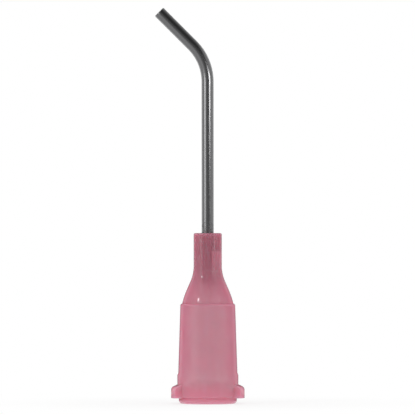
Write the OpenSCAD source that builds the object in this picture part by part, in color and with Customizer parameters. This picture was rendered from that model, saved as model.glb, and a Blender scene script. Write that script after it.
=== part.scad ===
// Dispensing needle tip: a moulded Luer-lock hub that holds a bent steel cannula.
// Origin: hub axis at the socket's mouth. +Z runs up the hub, and the cannula bends towards -X.

/* [Hub] */
// Diameter of the body just above the collar
body_foot_d = 6.28; // [6:0.02:6.4]
// Diameter of the body at its upper ledge
body_top_d = 5.82; // [5.7:0.02:6.2]
// Depth of the body's upper ledge below the end of the socket
ledge_drop = 0.08; // [0:0.02:0.4]
// Diameter of the shoulder where it leaves the ledge
shoulder_d = 5.44; // [5.2:0.02:5.6]
// Slope of the shoulder where it leaves the ledge, from the axis
shoulder_foot_angle = 12.4; // [8:0.2:16]
// Slope of the shoulder at its steepest, from the axis
shoulder_angle = 23.5; // [20:0.5:28]
// Radius of the crown that rounds the shoulder's lower half
crown_r = 7.3; // [4:0.1:9]
// Radius of the hollow that leads the shoulder into the neck
neck_blend_r = 4.2; // [2:0.1:5]
// Diameter of the neck
neck_d = 2.98; // [2.6:0.02:3.4]
// Radius of the neck's end edge
neck_edge_r = 0.13; // [0.05:0.01:0.3]

/* [Collar and rim] */
// Diameter of the collar that carries the lugs
collar_d = 6.48; // [6.44:0.01:6.6]
// Height of the collar's top above the mouth
collar_z = 3.26; // [2.6:0.02:4]
// Height of the slope between the collar and the body
collar_fade = 0.24; // [0.05:0.01:0.4]
// Diameter of the rim below the lugs
rim_d = 6.16; // [5.9:0.02:6.3]
// Height of the rim, from the mouth to the underside of the lugs
rim_h = 0.6; // [0.5:0.05:0.8]
// Radius of the rim's outer edge
rim_edge_r = 0.36; // [0.1:0.02:0.4]

/* [Lock lugs] */
// Diameter across the two lugs
lug_d = 7.82; // [7.6:0.01:7.9]
// Width of each lug
lug_w = 3.4; // [2.4:0.1:4]
// Height of each lug's outer face
lug_face_h = 0.84; // [0.6:0.02:1]
// Slope of the lug's upper flank, from the level
lug_flank_angle = 25; // [15:1:35]
// Radius between the outer face and the flank
lug_edge_r = 0.46; // [0.2:0.02:0.5]

/* [Luer socket] */
// Diameter of the socket at its mouth
socket_d = 4.3; // [4.27:0.005:4.315]
// Loss of diameter for each unit of depth
socket_taper = 0.06; // [0.055:0.001:0.065]
// Depth of the tapered socket
socket_depth = 10.7; // [8:0.1:13]
// Bevel at the socket's mouth
mouth_bevel = 0.14; // [0.05:0.01:0.3]
// Depth of the funnel above the socket
funnel_depth = 1.55; // [1:0.05:2]
// Length of the throat between the funnel and the cannula
throat_len = 0.45; // [0.2:0.05:1]
// Width of the ledge that the cannula stands on
seat_w = 0.12; // [0.08:0.01:0.16]

/* [Cannula] */
// Outer diameter of the cannula
cannula_d = 1.27; // [1.2:0.01:1.5]
// Inner diameter of the cannula
lumen_d = 0.84; // [0.6:0.01:0.9]
// Length of the cannula along its centre line, from the neck to its tip
exposed_len = 25.4; // [18:0.1:50]
// Length of the cannula that is held inside the neck
held_len = 5.4; // [4.6:0.1:8]
// Angle of the bend
bend_angle = 45; // [15:1:90]
// Radius of the bend at the centre line
bend_r = 5.5; // [4:0.1:8]
// Straight length between the bend and the tip
straight_tip_len = 5; // [3:0.1:12]
// Bevel left on the tip by deburring
tip_bevel = 0.06; // [0.02:0.01:0.1]

/* [Fit] */
// Gap all round the cannula for the bond in the neck
bond_gap = 0.02; // [0.01:0.005:0.05]
// Bevel where the cannula enters the neck
entry_bevel = 0.1; // [0.05:0.01:0.2]

/* [Hidden] */
$fn = 96;
arc_steps = 8;

// Heights along the hub: the socket, funnel and throat stack up to the seat that holds the cannula
funnel_z = socket_depth;
throat_z = funnel_z + funnel_depth;
seat_z = throat_z + throat_len;
hub_len = seat_z + held_len;
ledge_z = socket_depth - ledge_drop;

// Radii of the hub's turned outline
rim_r = rim_d / 2;
collar_r = collar_d / 2;
body_foot_r = body_foot_d / 2;
body_top_r = body_top_d / 2;
shoulder_r = shoulder_d / 2;
neck_r = neck_d / 2;
ledge_r = body_top_r - shoulder_r;
ledge_round = 75; // the rounding stops short of level, which leaves a crease at the shoulder's foot

// Shoulder: crown arc, straight cone, then a hollow arc that ends along the neck
crown_in = crown_r * (cos(shoulder_foot_angle) - cos(shoulder_angle));
crown_up = crown_r * (sin(shoulder_angle) - sin(shoulder_foot_angle));
blend_in = neck_blend_r * (1 - cos(shoulder_angle));
blend_up = neck_blend_r * sin(shoulder_angle);
cone_up = (shoulder_r - neck_r - crown_in - blend_in) / tan(shoulder_angle);
neck_z = ledge_z + crown_up + cone_up + blend_up;

// Radii of the passage through the hub
socket_end_r = (socket_d - socket_taper * socket_depth) / 2;
mouth_r = (socket_d - socket_taper * mouth_bevel) / 2;
throat_r = cannula_d / 2 - seat_w;
bore_r = cannula_d / 2 + bond_gap;

// Lugs are rooted inside the collar's wall
lug_r = lug_d / 2;
lug_root_depth = 0.4;
lug_root_r = collar_r - lug_root_depth;

// Cannula: straight leg, bend, straight tip
bend_len = bend_r * bend_angle * PI / 180;
leg_len = held_len + exposed_len - bend_len - straight_tip_len;

// Points on an arc about c, from angle a0 to angle a1
function arc(c, r, a0, a1) =
    [for (i = [0:arc_steps]) let (a = a0 + (a1 - a0) * i / arc_steps) c + r * [cos(a), sin(a)]];

// Outside of the hub, from the rim up to the neck's end, as [radius, height]
outer_line = concat(
    arc([rim_r - rim_edge_r, rim_edge_r], rim_edge_r, -90, 0),
    [
        [rim_r, rim_h],
        [collar_r, rim_h + collar_r - rim_r],
        [collar_r, collar_z - collar_fade],
        [body_foot_r, collar_z],
    ],
    arc([shoulder_r, ledge_z - ledge_r], ledge_r, 0, ledge_round),
    arc([shoulder_r - crown_r * cos(shoulder_foot_angle), ledge_z - crown_r * sin(shoulder_foot_angle)],
        crown_r, shoulder_foot_angle, shoulder_angle),
    arc([neck_r + neck_blend_r, neck_z], neck_blend_r, 180 + shoulder_angle, 180),
    arc([neck_r - neck_edge_r, hub_len - neck_edge_r], neck_edge_r, 0, 90)
);

// Inside of the hub, from the neck's end back down to the socket's mouth
inner_line = [
    [bore_r + entry_bevel, hub_len],
    [bore_r, hub_len - entry_bevel],
    [bore_r, seat_z],
    [throat_r, seat_z],
    [throat_r, throat_z],
    [socket_end_r, funnel_z],
    [mouth_r, mouth_bevel],
    [mouth_r + mouth_bevel, 0],
];

// Section of a lug: a flat underside, an upright outer face and a sloped upper flank
module lug_section() {
    face_z = rim_h + lug_face_h;
    edge = arc([lug_r - lug_edge_r, face_z], lug_edge_r, 0, 90 - lug_flank_angle);
    flank_end = edge[arc_steps];
    polygon(concat(
        [[lug_root_r, rim_h], [lug_r, rim_h]],
        edge,
        [[lug_root_r, flank_end[1] + (flank_end[0] - lug_root_r) * tan(lug_flank_angle)]]
    ));
}

// Two lugs, one on each side along X, cut to their width from one turned ring
module lock_lugs() {
    intersection() {
        rotate_extrude() lug_section();
        translate([-lug_d, -lug_w / 2, 0]) cube([2 * lug_d, lug_w, collar_z]);
    }
}

module hub() {
    color([0.77, 0.49, 0.56]) union() {
        rotate_extrude() polygon(concat(outer_line, inner_line));
        lock_lugs();
    }
}

// Straight length of tube that runs up from the origin
module straight_tube(len) {
    rotate_extrude() translate([lumen_d / 2, 0]) square([(cannula_d - lumen_d) / 2, len]);
}

// Straight length of tube whose far outer edge is deburred
module tip_tube(len) {
    outer_r = cannula_d / 2;
    rotate_extrude() polygon([
        [lumen_d / 2, 0],
        [outer_r, 0],
        [outer_r, len - tip_bevel],
        [outer_r - tip_bevel, len],
        [lumen_d / 2, len],
    ]);
}

// Bent length of tube: starts at the origin along +Z and turns towards -X
module bent_tube() {
    translate([-bend_r, 0, 0]) rotate([90, 0, 0])
        rotate_extrude(angle = bend_angle) translate([bend_r, 0]) difference() {
            circle(d = cannula_d);
            circle(d = lumen_d);
        }
}

module cannula() {
    color([0.6, 0.61, 0.62]) translate([0, 0, seat_z]) {
        straight_tube(leg_len);
        translate([0, 0, leg_len]) {
            bent_tube();
            translate([-bend_r, 0, 0]) rotate([0, -bend_angle, 0]) translate([bend_r, 0, 0])
                tip_tube(straight_tip_len);
        }
    }
}

hub();
cannula();
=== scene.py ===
import bmesh
import bpy
import math
from mathutils import Matrix, Vector


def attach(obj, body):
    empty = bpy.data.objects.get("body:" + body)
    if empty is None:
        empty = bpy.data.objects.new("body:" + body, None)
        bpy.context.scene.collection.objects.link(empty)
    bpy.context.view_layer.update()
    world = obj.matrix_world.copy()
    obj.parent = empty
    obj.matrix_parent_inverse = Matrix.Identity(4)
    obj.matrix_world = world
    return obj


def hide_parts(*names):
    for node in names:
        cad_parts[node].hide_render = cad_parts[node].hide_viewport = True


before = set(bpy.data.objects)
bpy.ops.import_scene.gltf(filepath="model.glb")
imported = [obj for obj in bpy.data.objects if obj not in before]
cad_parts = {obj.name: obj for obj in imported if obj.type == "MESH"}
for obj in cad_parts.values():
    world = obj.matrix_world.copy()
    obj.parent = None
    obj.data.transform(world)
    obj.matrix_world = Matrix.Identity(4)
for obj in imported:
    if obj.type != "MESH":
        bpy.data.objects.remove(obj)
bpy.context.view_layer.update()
scene = bpy.context.scene
mm = 0.001  # sizes below are in millimetres, and angles in degrees
weld = 0.001 * mm  # points closer than this are one point
print("frame loaded:", ", ".join(sorted(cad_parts)))


def rad(degrees):
    return math.radians(degrees)


def arcPoints(centre, radius, start, end, steps):
    # points on an arc about centre, angles in degrees
    points = []
    for i in range(steps + 1):
        a = rad(start + (end - start) * i / steps)
        points.append((centre[0] + radius * math.cos(a), centre[1] + radius * math.sin(a)))
    return points


def addOutline(bm, points):
    # closed loop of edges in the XZ plane, from (radius, height) in mm
    verts = [bm.verts.new((r * mm, 0, z * mm)) for r, z in points]
    edges = [bm.edges.new(pair) for pair in zip(verts, verts[1:] + verts[:1])]
    return verts + edges


def cleanMesh(bm):
    bmesh.ops.remove_doubles(bm, verts=bm.verts, dist=weld)
    bmesh.ops.recalc_face_normals(bm, faces=bm.faces)


def finishPiece(bm, name, node, materials, creaseAngle):
    # smooth faces, crisp where the surface turns sharply, and handed to the frame
    for face in bm.faces:
        face.smooth = True
    for edge in bm.edges:
        if edge.is_manifold and edge.calc_face_angle() > rad(creaseAngle):
            edge.smooth = False
    openEdges = sum(not edge.is_manifold for edge in bm.edges)
    mesh = bpy.data.meshes.new(name)
    bm.to_mesh(mesh)
    bm.free()
    for material in materials:
        mesh.materials.append(material)
    piece = bpy.data.objects.new(name, mesh)
    scene.collection.objects.link(piece)
    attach(piece, "root")
    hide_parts(node)
    print(name, "faces:", len(mesh.polygons), "open edges:", openEdges)


# node helpers
def addNode(tree, kind, **settings):
    node = tree.nodes.new(kind)
    for key, value in settings.items():
        setattr(node, key, value)
    return node


def feed(tree, socket, value):
    # a socket takes a plain value or another node's output
    if isinstance(value, bpy.types.NodeSocket):
        tree.links.new(value, socket)
    else:
        socket.default_value = value


def setInputs(tree, node, **inputs):
    # sockets by name, with spaces left out
    for socket in node.inputs:
        key = socket.name.replace(" ", "")
        if key in inputs and socket.enabled:
            feed(tree, socket, inputs.pop(key))
    if inputs:
        raise ValueError(f"{node.name} has no socket {sorted(inputs)}")


def mathNode(tree, operation, *values):
    node = addNode(tree, "ShaderNodeMath", operation=operation)
    for socket, value in zip(node.inputs, values):
        feed(tree, socket, value)
    return node.outputs[0]


def vectorNode(tree, operation, *values):
    node = addNode(tree, "ShaderNodeVectorMath", operation=operation)
    for socket, value in zip(node.inputs, values):
        feed(tree, socket, value)
    return node.outputs


def product(tree, first, *others):
    for value in others:
        first = mathNode(tree, "MULTIPLY", first, value)
    return first


def splitAxes(tree, vector):
    node = addNode(tree, "ShaderNodeSeparateXYZ")
    setInputs(tree, node, Vector=vector)
    return node.outputs


def mapValue(tree, value, fromLow, fromHigh, toLow, toHigh):
    node = addNode(tree, "ShaderNodeMapRange")
    setInputs(tree, node, Value=value, FromMin=fromLow, FromMax=fromHigh, ToMin=toLow, ToMax=toHigh)
    return node.outputs["Result"]


def rampMask(tree, value, start, end):
    # 0 at start and 1 at end, smooth between them and level beyond; start may be the higher one
    before, after = (0.0, 1.0) if start < end else (1.0, 0.0)
    node = addNode(tree, "ShaderNodeMapRange", interpolation_type="SMOOTHSTEP")
    setInputs(tree, node, Value=value, FromMin=min(start, end), FromMax=max(start, end),
              ToMin=before, ToMax=after)
    return node.outputs["Result"]


def mixColour(tree, factor, first, second, blend="MIX"):
    node = addNode(tree, "ShaderNodeMix", data_type="RGBA", blend_type=blend)
    # a Mix node keeps its colours in sockets 6 and 7, and gives them out from socket 2
    for index, value in ((0, factor), (6, first), (7, second)):
        feed(tree, node.inputs[index], value)
    return node.outputs[2]


def mixShaders(tree, factor, first, second):
    node = addNode(tree, "ShaderNodeMixShader")
    for socket, value in zip(node.inputs, (factor, first, second)):
        feed(tree, socket, value)
    return node.outputs[0]


def glowShader(tree, strength):
    node = addNode(tree, "ShaderNodeEmission")
    setInputs(tree, node, Color=(1, 1, 1, 1), Strength=strength)
    return node.outputs[0]


def addNoise(tree, vector, scale, detail, roughness):
    node = addNode(tree, "ShaderNodeTexNoise")
    setInputs(tree, node, Vector=vector, Scale=scale, Detail=detail, Roughness=roughness)
    return node.outputs["Fac"]


def addBump(tree, height, look):
    node = addNode(tree, "ShaderNodeBump")
    setInputs(tree, node, Strength=look["bumpStrength"], Distance=look["bumpDepth"] * mm, Height=height)
    return node.outputs[0]


def millimetreCoords(tree, source):
    # the piece's own coordinates, turned from metres to millimetres
    mapping = addNode(tree, "ShaderNodeMapping")
    setInputs(tree, mapping, Vector=source, Scale=(1 / mm, 1 / mm, 1 / mm))
    return mapping.outputs["Vector"]


noiseLook = {
    "streakSquash": 0.05,  # below 1, so that the streaks run along Z
    "streakDetail": 3.0,
    "streakRoughness": 0.6,
    "grainDetail": 4.0,
    "grainRoughness": 0.55,
    "patchScale": 0.45,
    "patchDetail": 2.0,
    "patchRoughness": 0.5,
}


def makeGrainGroup():
    # fine grain with streaks along Z, shared by the plastic and the steel
    look = noiseLook
    group = bpy.data.node_groups.new("surfaceGrain", "ShaderNodeTree")
    sockets = (
        ("Vector", "INPUT", "NodeSocketVector"),
        ("Grain Scale", "INPUT", "NodeSocketFloat"),
        ("Streak Scale", "INPUT", "NodeSocketFloat"),
        ("Streak Share", "INPUT", "NodeSocketFloat"),
        ("Mask", "OUTPUT", "NodeSocketFloat"),
        ("Patches", "OUTPUT", "NodeSocketFloat"),
    )
    for name, direction, kind in sockets:
        group.interface.new_socket(name=name, in_out=direction, socket_type=kind)
    source = addNode(group, "NodeGroupInput").outputs
    target = addNode(group, "NodeGroupOutput")
    vector = source["Vector"]
    stretch = addNode(group, "ShaderNodeMapping")
    setInputs(group, stretch, Vector=vector, Scale=(1.0, 1.0, look["streakSquash"]))
    streaks = addNoise(group, stretch.outputs["Vector"], source["Streak Scale"],
                       look["streakDetail"], look["streakRoughness"])
    grain = addNoise(group, vector, source["Grain Scale"], look["grainDetail"], look["grainRoughness"])
    patches = addNoise(group, vector, look["patchScale"], look["patchDetail"], look["patchRoughness"])
    blend = addNode(group, "ShaderNodeMix", data_type="FLOAT")
    setInputs(group, blend, Factor=source["Streak Share"], A=grain, B=streaks)
    setInputs(group, target, Mask=blend.outputs[0], Patches=patches)
    return group


grainGroup = makeGrainGroup()


def addGrain(tree, coords, look):
    node = addNode(tree, "ShaderNodeGroup", node_tree=grainGroup)
    setInputs(tree, node, Vector=coords, GrainScale=look["grainScale"], StreakScale=look["streakScale"],
              StreakShare=look["streakShare"])
    return node.outputs


def newMaterial(name):
    material = bpy.data.materials.new(name)
    material.use_nodes = True
    tree = material.node_tree
    return material, tree, tree.nodes["Principled BSDF"]


# hub: one moulding, translucent pink polypropylene
hub = {
    "bodyFoot": 6.28,
    "bodyTop": 5.82,
    "ledgeZ": 10.62,
    "ledgeRound": 75,
    "shoulder": 5.44,
    "shoulderFootAngle": 12.4,
    "shoulderAngle": 23.5,
    "crownRadius": 7.3,
    "neckBlend": 4.2,
    "neck": 2.98,
    "neckEdge": 0.13,
    "collar": 6.48,
    "collarZ": 3.26,
    "collarFade": 0.24,
    "rim": 6.16,
    "rimZ": 0.6,
    "rimEdge": 0.36,
    "socketMouth": 4.3,
    "socketTaper": 0.06,
    "socketDepth": 10.7,
    "mouthBevel": 0.14,
    "throatZ": 12.25,
    "throat": 1.03,
    "seatZ": 12.7,
    "bore": 1.31,
    "entryBevel": 0.1,
    "top": 18.1,
    "turnSteps": 128,
    "arcSteps": 10,
    "passageFacing": -0.3,  # a face whose normal leans this far inwards belongs to the passage
    "creaseAngle": 32,
}
lug = {
    "across": 7.82,
    "width": 3.4,
    "faceZ": 1.44,
    "flankAngle": 25,
    "edgeRadius": 0.46,
    "arcSteps": 6,
    "softEdge": 0.09,
    "softSteps": 3,
    "softAngle": 50,  # only sharper edges are softened
    "softStart": 0.02,  # the root on the collar stays as it is
}


def hubOuterLine():
    # outside, from the rim up to the neck's end
    s = hub
    rimR, collarR, bodyR = s["rim"] / 2, s["collar"] / 2, s["bodyFoot"] / 2
    shoulderR, neckR = s["shoulder"] / 2, s["neck"] / 2
    ledgeR = s["bodyTop"] / 2 - shoulderR
    foot, slope = rad(s["shoulderFootAngle"]), rad(s["shoulderAngle"])
    crownIn = s["crownRadius"] * (math.cos(foot) - math.cos(slope))
    crownUp = s["crownRadius"] * (math.sin(slope) - math.sin(foot))
    blendIn = s["neckBlend"] * (1 - math.cos(slope))
    blendUp = s["neckBlend"] * math.sin(slope)
    coneUp = (shoulderR - neckR - crownIn - blendIn) / math.tan(slope)
    neckZ = s["ledgeZ"] + crownUp + coneUp + blendUp
    crownCentre = (shoulderR - s["crownRadius"] * math.cos(foot),
                   s["ledgeZ"] - s["crownRadius"] * math.sin(foot))
    blendCentre = (neckR + s["neckBlend"], neckZ)
    edgeCentre = (neckR - s["neckEdge"], s["top"] - s["neckEdge"])
    steps = s["arcSteps"]
    line = arcPoints((rimR - s["rimEdge"], s["rimEdge"]), s["rimEdge"], -90, 0, steps)
    line += [(rimR, s["rimZ"]), (collarR, s["rimZ"] + collarR - rimR)]
    line += [(collarR, z) for _, z in lugSection()[2:]]  # rows for the lugs, which are drawn out later
    line += [(collarR, s["collarZ"] - s["collarFade"]), (bodyR, s["collarZ"])]
    line += arcPoints((shoulderR, s["ledgeZ"] - ledgeR), ledgeR, 0, s["ledgeRound"], steps)
    line += arcPoints(crownCentre, s["crownRadius"], s["shoulderFootAngle"], s["shoulderAngle"], steps)
    line += arcPoints(blendCentre, s["neckBlend"], 180 + s["shoulderAngle"], 180, steps)
    line += arcPoints(edgeCentre, s["neckEdge"], 0, 90, steps // 2)
    return line


def hubInnerLine():
    # inside, from the neck's end back down to the socket's mouth
    s = hub
    boreR, throatR = s["bore"] / 2, s["throat"] / 2
    mouthR = (s["socketMouth"] - s["socketTaper"] * s["mouthBevel"]) / 2
    socketEndR = (s["socketMouth"] - s["socketTaper"] * s["socketDepth"]) / 2
    return [
        (boreR + s["entryBevel"], s["top"]),
        (boreR, s["top"] - s["entryBevel"]),
        (boreR, s["seatZ"]),
        (throatR, s["seatZ"]),
        (throatR, s["throatZ"]),
        (socketEndR, s["socketDepth"]),
        (mouthR, s["mouthBevel"]),
        (mouthR + s["mouthBevel"], 0),
    ]


def lugSection():
    # (radius, height) of a lug's rows, from its underside up to where the flank meets the collar
    lugR, collarR, rimR = lug["across"] / 2, hub["collar"] / 2, hub["rim"] / 2
    centre = (lugR - lug["edgeRadius"], lug["faceZ"])
    edge = arcPoints(centre, lug["edgeRadius"], 0, 90 - lug["flankAngle"], lug["arcSteps"])
    endR, endZ = edge[-1]
    flankTop = endZ + (endR - collarR) * math.tan(rad(lug["flankAngle"]))
    return [(lugR, hub["rimZ"]), (lugR, hub["rimZ"] + collarR - rimR)] + edge + [(collarR, flankTop)]


def pullLugs(bm):
    # cut the collar's band to the lugs' width, then draw the two patches out to the lug's section
    section = lugSection()
    halfWidth = lug["width"] / 2 * mm
    lowZ, highZ = section[0][1] * mm, section[-1][1] * mm
    slack = 0.0005 * mm  # how far past the band a face may reach
    onPlane = 0.0001 * mm  # points this close to a cut lie on it
    rowMatch = 0.002  # between a point's height and its row in the section
    outside = hub["rim"] / 2 * mm - slack

    def inBand(face):
        zs = [v.co.z for v in face.verts]
        radial = min(v.co.xy.length for v in face.verts)
        return min(zs) > lowZ - slack and max(zs) < highZ + slack and radial > outside

    for side in (-1, 1):
        band = [f for f in bm.faces if inBand(f)]
        geom = set(band)
        for face in band:
            geom.update(face.edges)
            geom.update(face.verts)
        bmesh.ops.bisect_plane(bm, geom=list(geom), dist=onPlane, plane_co=(0, side * halfWidth, 0),
                               plane_no=(0, 1, 0))
    patches = [f for f in bm.faces if inBand(f) and abs(f.calc_center_median().y) < halfWidth]
    drawn = bmesh.ops.extrude_face_region(bm, geom=patches)["geom"]
    bmesh.ops.delete(bm, geom=patches, context="FACES")
    for vert in (g for g in drawn if isinstance(g, bmesh.types.BMVert)):
        z = vert.co.z / mm
        radius = next(r for r, rowZ in section if abs(rowZ - z) < rowMatch) * mm
        vert.co.x = math.copysign(math.sqrt(radius ** 2 - vert.co.y ** 2), vert.co.x)


def softenLugs(bm):
    # small moulded radius along the lugs' outer corners
    inner = hub["collar"] / 2 * mm + lug["softStart"] * mm
    corners = []
    for edge in bm.edges:
        radial = min(v.co.xy.length for v in edge.verts)
        if radial > inner and edge.is_manifold and edge.calc_face_angle() > rad(lug["softAngle"]):
            corners.append(edge)
    bmesh.ops.bevel(bm, geom=corners, offset=lug["softEdge"] * mm, offset_type="OFFSET", affect="EDGES",
                    segments=lug["softSteps"], profile=0.5, material=-1, clamp_overlap=True)


def buildHub(materials):
    bm = bmesh.new()
    outline = addOutline(bm, hubOuterLine() + hubInnerLine())
    bmesh.ops.spin(bm, geom=outline, cent=(0, 0, 0), axis=(0, 0, 1), dvec=(0, 0, 0), angle=rad(360),
                   steps=hub["turnSteps"], use_merge=True, use_normal_flip=False, use_duplicate=False)
    cleanMesh(bm)
    pullLugs(bm)
    cleanMesh(bm)
    softenLugs(bm)
    cleanMesh(bm)
    for face in bm.faces:
        # the passage's wall looks towards the axis, and has the second material
        outwards = face.calc_center_median().xy.normalized()
        face.material_index = int(face.normal.xy.dot(outwards) < hub["passageFacing"])
    finishPiece(bm, "hubMoulding", "hub", materials, hub["creaseAngle"])


# cannula: one steel tube, bent once
cannula = {
    "outer": 1.27,
    "lumen": 0.84,
    "bendAngle": 45,
    "bendRadius": 5.5,
    "exposed": 25.4,
    "held": 5.4,
    "tipStraight": 5.0,
    "tipBevel": 0.1,  # rounded, and a little wider than the solid's flat bevel
    "tipSteps": 3,
    "tipEdgeAngle": 60,
    "sides": 64,
    "bendSteps": 28,
    "creaseAngle": 40,
}


def drawOut(bm, faces, vector, keepStart):
    # extrude faces along a vector and return the far ones
    drawn = bmesh.ops.extrude_face_region(bm, geom=faces)["geom"]
    bmesh.ops.translate(bm, vec=vector, verts=[g for g in drawn if isinstance(g, bmesh.types.BMVert)])
    if not keepStart:
        bmesh.ops.delete(bm, geom=faces, context="FACES")
    return [g for g in drawn if isinstance(g, bmesh.types.BMFace)]


def buildCannula(materials):
    s = cannula
    bm = bmesh.new()
    bendLength = s["bendRadius"] * rad(s["bendAngle"])
    legLength = s["held"] + s["exposed"] - bendLength - s["tipStraight"]
    bendZ = hub["seatZ"] + legLength
    for diameter in (s["outer"], s["lumen"]):
        bmesh.ops.create_circle(bm, cap_ends=False, segments=s["sides"], radius=diameter / 2 * mm,
                                matrix=Matrix.Translation((0, 0, hub["seatZ"] * mm)))
    seat = bmesh.ops.bridge_loops(bm, edges=bm.edges)["faces"]
    along = Vector((-math.sin(rad(s["bendAngle"])), 0, math.cos(rad(s["bendAngle"]))))
    legEnd = drawOut(bm, seat, Vector((0, 0, legLength * mm)), True)
    pivot = (-s["bendRadius"] * mm, 0, bendZ * mm)
    turned = bmesh.ops.spin(bm, geom=legEnd, cent=pivot, axis=(0, -1, 0), dvec=(0, 0, 0),
                            angle=rad(s["bendAngle"]), steps=s["bendSteps"],
                            use_merge=False, use_normal_flip=False, use_duplicate=False)["geom_last"]
    bendEnd = [g for g in turned if isinstance(g, bmesh.types.BMFace)]
    bmesh.ops.delete(bm, geom=legEnd, context="FACES")
    tip = drawOut(bm, bendEnd, along * s["tipStraight"] * mm, False)
    sharp = rad(s["tipEdgeAngle"])
    tipEdges = {e for f in tip for e in f.edges if e.is_manifold and e.calc_face_angle() > sharp}
    bmesh.ops.bevel(bm, geom=list(tipEdges), offset=s["tipBevel"] * mm, offset_type="OFFSET",
                    affect="EDGES", segments=s["tipSteps"], profile=0.5, material=-1)
    cleanMesh(bm)
    # each point's place on the tube before it was bent, so that the draw lines follow the bend
    unbent = bm.verts.layers.float_vector.new("unbent")
    for vert in bm.verts:
        vert[unbent] = straightened(vert.co, bendZ * mm)
    finishPiece(bm, "cannulaTube", "cannula", materials, s["creaseAngle"])


def straightened(point, bendZ):
    # where a point of the bend or of the tip lay on the straight tube
    radius, full = cannula["bendRadius"] * mm, rad(cannula["bendAngle"])
    if point.z <= bendZ:
        return point.copy()
    centre = Vector((-radius, 0, bendZ))
    offset = point - centre
    turn = min(math.atan2(offset.z, offset.x), full)
    back = Matrix.Rotation(turn, 3, "Y") @ offset
    return centre + back + Vector((0, 0, turn * radius))


# plastic: colours, heights, and pairs that a ramp runs between; a cover of 1 hides what is behind
plastic = {
    "body": (0.555, 0.196, 0.274, 1),
    "neck": (0.385, 0.137, 0.185, 1),
    "base": (0.57, 0.233, 0.303, 1),
    "pocket": (0.465, 0.18, 0.235, 1),
    "neckFade": (9.6, 15.4),
    "baseFade": (4.5, 1.0),
    "pocketSide": (0.38, 0.46),
    "pocketTop": (16.25, 16.15),
    "pocketFoot": (12.6, 14.8),
    "roughness": 0.13,
    "coverFacing": (0.05, 0.7),
    "cover": (0.6, 0.97),
    "neckCoverFade": (10.2, 12.4),
    "neckCover": 0.13,
    "baseCoverFade": (4.8, 0.8),
    "baseCover": 0.93,
    "pocketCover": 0.86,
    "passageBody": (0.64, 0.64, 0.65, 1),
    "passageNeck": (0.5, 0.62, 0.59, 1),
    "passageRoughness": 0.3,
    "passageCoverFacing": (0.05, 0.6),
    "passageCover": (0.44, 0.05),
    "grainScale": 7.0,
    "streakScale": 2.2,
    "streakShare": 0.6,
    "noiseRange": (0.3, 0.7),
    "patchShade": (0.975, 1.025),
    "roughnessSpread": 0.02,
    "bumpStrength": 0.03,
    "bumpDepth": 0.02,
    "ior": 1.49,
    "specular": 0.35,
    "scatterRadius": (1.0, 0.45, 0.55),
    "scatterScale": 3.0,
}


def plasticSurface(name, colours, roughness):
    # moulded translucent plastic: colour by height, faint flow marks and a fine skin
    s = plastic
    material, tree, surface = newMaterial(name)
    coords = millimetreCoords(tree, addNode(tree, "ShaderNodeTexCoord").outputs["Object"])
    place = splitAxes(tree, coords)
    grain = addGrain(tree, coords, s)
    colour = mixColour(tree, rampMask(tree, place["Z"], *s["neckFade"]), *colours)
    shade = mapValue(tree, grain["Patches"], *s["noiseRange"], *s["patchShade"])
    tone = addNode(tree, "ShaderNodeCombineColor")
    setInputs(tree, tone, Red=shade, Green=shade, Blue=shade)
    colour = mixColour(tree, 1.0, colour, tone.outputs[0], "MULTIPLY")
    smoothest, roughest = roughness - s["roughnessSpread"], roughness + s["roughnessSpread"]
    rough = mapValue(tree, grain["Mask"], *s["noiseRange"], smoothest, roughest)
    setInputs(tree, surface, Roughness=rough, Normal=addBump(tree, grain["Mask"], s), IOR=s["ior"],
              SpecularIORLevel=s["specular"], SubsurfaceWeight=1.0,
              SubsurfaceRadius=s["scatterRadius"], SubsurfaceScale=s["scatterScale"] * mm)
    return material, tree, surface, place, colour


def outsideMaterial():
    # a view straight through the wall meets less plastic than one along it
    s = plastic
    material, tree, surface, place, colour = plasticSurface(
        "pinkPolypropylene", (s["body"], s["neck"]), s["roughness"])
    x, z = place["X"], place["Z"]
    # the bond stops short on one side of the neck and leaves an air pocket beside the tube
    pocket = product(tree, rampMask(tree, x, *s["pocketSide"]), rampMask(tree, z, *s["pocketTop"]),
                     rampMask(tree, z, *s["pocketFoot"]))
    colour = mixColour(tree, pocket, colour, s["pocket"])
    # the collar's lower end looks solid
    colour = mixColour(tree, rampMask(tree, z, *s["baseFade"]), colour, s["base"])
    facing = addNode(tree, "ShaderNodeLayerWeight").outputs["Facing"]
    cover = mapValue(tree, facing, *s["coverFacing"], *s["cover"])
    neckCover = product(tree, rampMask(tree, z, *s["neckCoverFade"]), s["neckCover"])
    cover = mathNode(tree, "ADD", cover, neckCover)
    baseCover = product(tree, rampMask(tree, z, *s["baseCoverFade"]), s["baseCover"])
    pocketCover = product(tree, pocket, s["pocketCover"])
    for least in (baseCover, pocketCover):
        cover = mathNode(tree, "MAXIMUM", cover, least)
    setInputs(tree, surface, BaseColor=colour, Alpha=mathNode(tree, "MINIMUM", cover, 1.0))
    return material


def passageMaterial():
    # the passage's wall is clear but for its surface, which looks greyer face on
    s = plastic
    material, tree, surface, place, colour = plasticSurface(
        "passageWall", (s["passageBody"], s["passageNeck"]), s["passageRoughness"])
    facing = addNode(tree, "ShaderNodeLayerWeight").outputs["Facing"]
    cover = mapValue(tree, facing, *s["passageCoverFacing"], *s["passageCover"])
    setInputs(tree, surface, BaseColor=colour, Alpha=cover)
    return material


steel = {
    "colour": (0.56, 0.56, 0.57, 1),
    "roughness": (0.17, 0.24),
    "grainScale": 9.0,
    "streakScale": 14.0,
    "streakShare": 0.75,
    "noiseRange": (0.3, 0.7),
    "bumpStrength": 0.02,
    "bumpDepth": 0.01,
    "residue": (0.30, 0.30, 0.30, 1),
    "residueFade": (19.6, 18.6),
    "residueRoughness": 0.25,
    "speckleScale": 5.0,
    "speckleDetail": 3.0,
    "speckleRoughness": 0.5,
    "speckleRange": (0.46, 0.6),
}


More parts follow.
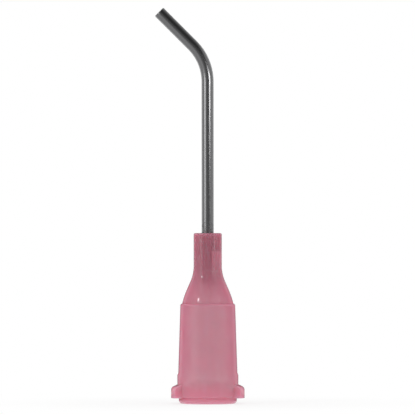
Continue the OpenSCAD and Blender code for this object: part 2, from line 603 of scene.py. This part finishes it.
def steelMaterial():
    s = steel
    material, tree, surface = newMaterial("drawnSteel")
    source = addNode(tree, "ShaderNodeAttribute", attribute_name="unbent", attribute_type="GEOMETRY")
    coords = millimetreCoords(tree, source.outputs["Vector"])
    grain = addGrain(tree, coords, s)
    # specks of dried residue just above the neck
    speckle = addNoise(tree, coords, s["speckleScale"], s["speckleDetail"], s["speckleRoughness"])
    low = rampMask(tree, splitAxes(tree, coords)["Z"], *s["residueFade"])
    residue = product(tree, low, rampMask(tree, speckle, *s["speckleRange"]))
    colour = mixColour(tree, residue, s["colour"], s["residue"])
    drawn = mapValue(tree, grain["Mask"], *s["noiseRange"], *s["roughness"])
    roughness = mathNode(tree, "ADD", drawn, product(tree, residue, s["residueRoughness"]))
    setInputs(tree, surface, BaseColor=colour, Metallic=1.0, Roughness=roughness,
              Normal=addBump(tree, grain["Mask"], s))
    return material


buildHub((outsideMaterial(), passageMaterial()))
buildCannula((steelMaterial(),))

# studio: white surroundings, a grey tent that only reflections see, and lamps
studio = {
    "ambient": 1.0,
    "floorSize": 400,
    "floorBounce": 0.87,  # the floor's own light, as matt surfaces see it
    "floorColour": (0.9, 0.9, 0.9, 1),
    "floorRoughness": 0.9,
    "shadowShare": 0.3,
    "shadowFade": (30.0, 8.0),
}


def seenDirectly(tree):
    # 1 for rays from the camera, from a mirror or through clear material
    path = addNode(tree, "ShaderNodeLightPath").outputs
    seen = mathNode(tree, "MAXIMUM", path["Is Camera Ray"], path["Is Glossy Ray"])
    return mathNode(tree, "MAXIMUM", seen, path["Is Transmission Ray"])


def studioWorld():
    world = bpy.data.worlds.new("studioWorld")
    world.use_nodes = True
    scene.world = world
    tree = world.node_tree
    strength = mapValue(tree, seenDirectly(tree), 0.0, 1.0, studio["ambient"], 1.0)
    setInputs(tree, tree.nodes["Background"], Color=(1, 1, 1, 1), Strength=strength)


def stagePiece(bm, name, material):
    mesh = bpy.data.meshes.new(name)
    bm.to_mesh(mesh)
    bm.free()
    mesh.materials.append(material)
    piece = bpy.data.objects.new(name, mesh)
    scene.collection.objects.link(piece)
    return piece


def studioFloor():
    # white, with the object's own soft shadow close to it
    s = studio
    material, tree, surface = newMaterial("whiteFloor")
    coords = millimetreCoords(tree, addNode(tree, "ShaderNodeTexCoord").outputs["Object"])
    near = rampMask(tree, vectorNode(tree, "LENGTH", coords)["Value"], *s["shadowFade"])
    setInputs(tree, surface, BaseColor=s["floorColour"], Roughness=s["floorRoughness"])
    shadow = product(tree, near, s["shadowShare"])
    shadowed = mixShaders(tree, shadow, glowShader(tree, 1.0), surface.outputs[0])
    floor = mixShaders(tree, seenDirectly(tree), glowShader(tree, s["floorBounce"]), shadowed)
    # clear from below, so that the socket can be seen through it
    backfacing = addNode(tree, "ShaderNodeNewGeometry").outputs["Backfacing"]
    clear = addNode(tree, "ShaderNodeBsdfTransparent").outputs[0]
    setInputs(tree, tree.nodes["Material Output"], Surface=mixShaders(tree, backfacing, floor, clear))
    bm = bmesh.new()
    bmesh.ops.create_grid(bm, x_segments=1, y_segments=1, size=s["floorSize"] * mm)
    stagePiece(bm, "studioFloor", material)


# tent: its ramps run over X, Y and Z of the direction from its centre, and -Y is towards the camera
tent = {
    "radius": 330,
    "gap": 0.3,  # between the floor and the tent's foot
    "centre": (0, 0, 30),
    "grey": 0.27,
    "dark": 0.03,
    "darkWay": (0.45, -0.7, 0.55),
    "darkFade": (0.2, 0.97),
    "darkSide": (0.86, 0.72),
    "card": 0.09,
    "cardFront": (-0.90, -0.96),
    "cardFoot": (-0.16, -0.04),
    "backDark": 0.7,
    "backFade": (0.90, 0.96),
    "panelGlow": 0.5,
    "panelNear": (0.52, 0.62),
    "panelFar": (0.86, 0.76),
    "panelTop": (0.6, 0.4),
}


def studioTent():
    # grey tent round the object, seen only in reflections
    s = tent
    material, tree, surface = newMaterial("tentGrey")
    tree.nodes.remove(surface)
    coords = addNode(tree, "ShaderNodeTexCoord").outputs["Object"]
    offset = vectorNode(tree, "SUBTRACT", coords, Vector(s["centre"]) * mm)["Vector"]
    direction = vectorNode(tree, "NORMALIZE", offset)["Vector"]
    darkWay = Vector(s["darkWay"]).normalized()
    towardsDark = vectorNode(tree, "DOT_PRODUCT", direction, darkWay)["Value"]
    place = splitAxes(tree, direction)
    y, z = place["Y"], place["Z"]
    dark = product(tree, mapValue(tree, towardsDark, *s["darkFade"], 0.0, 1.0),
                   rampMask(tree, place["X"], *s["darkSide"]))
    wall = mapValue(tree, dark, 0.0, 1.0, s["grey"], s["dark"])
    # in front of the object: a dark card
    card = product(tree, rampMask(tree, y, *s["cardFront"]), rampMask(tree, z, *s["cardFoot"]))
    grey = addNode(tree, "ShaderNodeMix", data_type="FLOAT")
    setInputs(tree, grey, Factor=card, A=wall, B=mathNode(tree, "MINIMUM", wall, s["card"]))
    # behind the object: a dark middle between two pale panels
    behind = product(tree, rampMask(tree, y, *s["backFade"]), s["backDark"])
    shaded = product(tree, grey.outputs[0], mathNode(tree, "SUBTRACT", 1.0, behind))
    panels = product(tree, rampMask(tree, y, *s["panelNear"]), rampMask(tree, y, *s["panelFar"]),
                     rampMask(tree, z, *s["panelTop"]), s["panelGlow"])
    glow = glowShader(tree, mathNode(tree, "ADD", shaded, panels))
    setInputs(tree, tree.nodes["Material Output"], Surface=glow)
    bm = bmesh.new()
    bmesh.ops.create_uvsphere(bm, u_segments=64, v_segments=32, radius=s["radius"] * mm)
    geom = bm.verts[:] + bm.edges[:] + bm.faces[:]
    cut = bmesh.ops.bisect_plane(bm, geom=geom, plane_co=(0, 0, s["gap"] * mm), plane_no=(0, 0, 1),
                                 clear_inner=True)["geom_cut"]
    bmesh.ops.contextual_create(bm, geom=[g for g in cut if isinstance(g, bmesh.types.BMEdge)])
    piece = stagePiece(bm, "greyTent", material)
    piece.visible_camera = False
    piece.visible_diffuse = False
    piece.visible_transmission = False
    piece.visible_volume_scatter = False
    piece.visible_shadow = False


# azimuth runs from the camera's side to the right, bottom and top are heights,
# and radiance is what a mirror shows
lamps = {
    "softboxLeft": dict(azimuth=-53, distance=260, width=90, bottom=12, top=110, radiance=1.03, tilt=0),
    "stripRight": dict(azimuth=41, distance=80, width=28, bottom=31, top=46, radiance=2.8, tilt=0),
    "keySpot": dict(azimuth=-48, distance=240, width=16, bottom=133, top=149, radiance=85.0, tilt=29),
}


def addLamp(name, azimuth, distance, width, bottom, top, radiance, tilt):
    # a panel that faces the object's axis, upright where it isn't tilted
    light = bpy.data.lights.new(name, "AREA")
    light.shape = "RECTANGLE"
    light.size, light.size_y = width * mm, (top - bottom) * mm
    light.energy = radiance * math.pi * light.size * light.size_y
    a = rad(azimuth)
    away = Vector((math.sin(a), -math.cos(a), 0))
    lamp = bpy.data.objects.new(name, light)
    lamp.location = away * distance * mm + Vector((0, 0, (bottom + top) / 2 * mm))
    facing = away + Vector((0, 0, math.tan(rad(tilt))))
    lamp.rotation_euler = facing.to_track_quat("Z", "Y").to_euler()
    lamp.visible_camera = False
    scene.collection.objects.link(lamp)


studioWorld()
studioFloor()
studioTent()
for name, settings in lamps.items():
    addLamp(name, **settings)

# camera: long lens a little above the level, as the object is seen upright
view = {
    "distance": 900,
    "height": 44.07,
    "elevation": 0.6,
    "roll": -0.05,
    "target": (-0.02, 0.0, 20.83),
    "sensor": 36,
    "clip": (50, 5000),
}
camera = bpy.data.cameras.new("productCamera")
camera.sensor_width = view["sensor"]
camera.lens = camera.sensor_width * view["distance"] / view["height"]
camera.clip_start, camera.clip_end = (limit * mm for limit in view["clip"])
cameraPiece = bpy.data.objects.new("productCamera", camera)
scene.collection.objects.link(cameraPiece)
tilt = rad(view["elevation"])
back = Vector((0, -math.cos(tilt), math.sin(tilt)))
aim = Vector(view["target"]) * mm
cameraPiece.matrix_world = (Matrix.Translation(aim + back * view["distance"] * mm)
                            @ back.to_track_quat("Z", "Y").to_matrix().to_4x4()
                            @ Matrix.Rotation(rad(view["roll"]), 4, "Z"))
scene.camera = cameraPiece
scene.view_settings.view_transform = "Standard"
print("studio and camera ready")
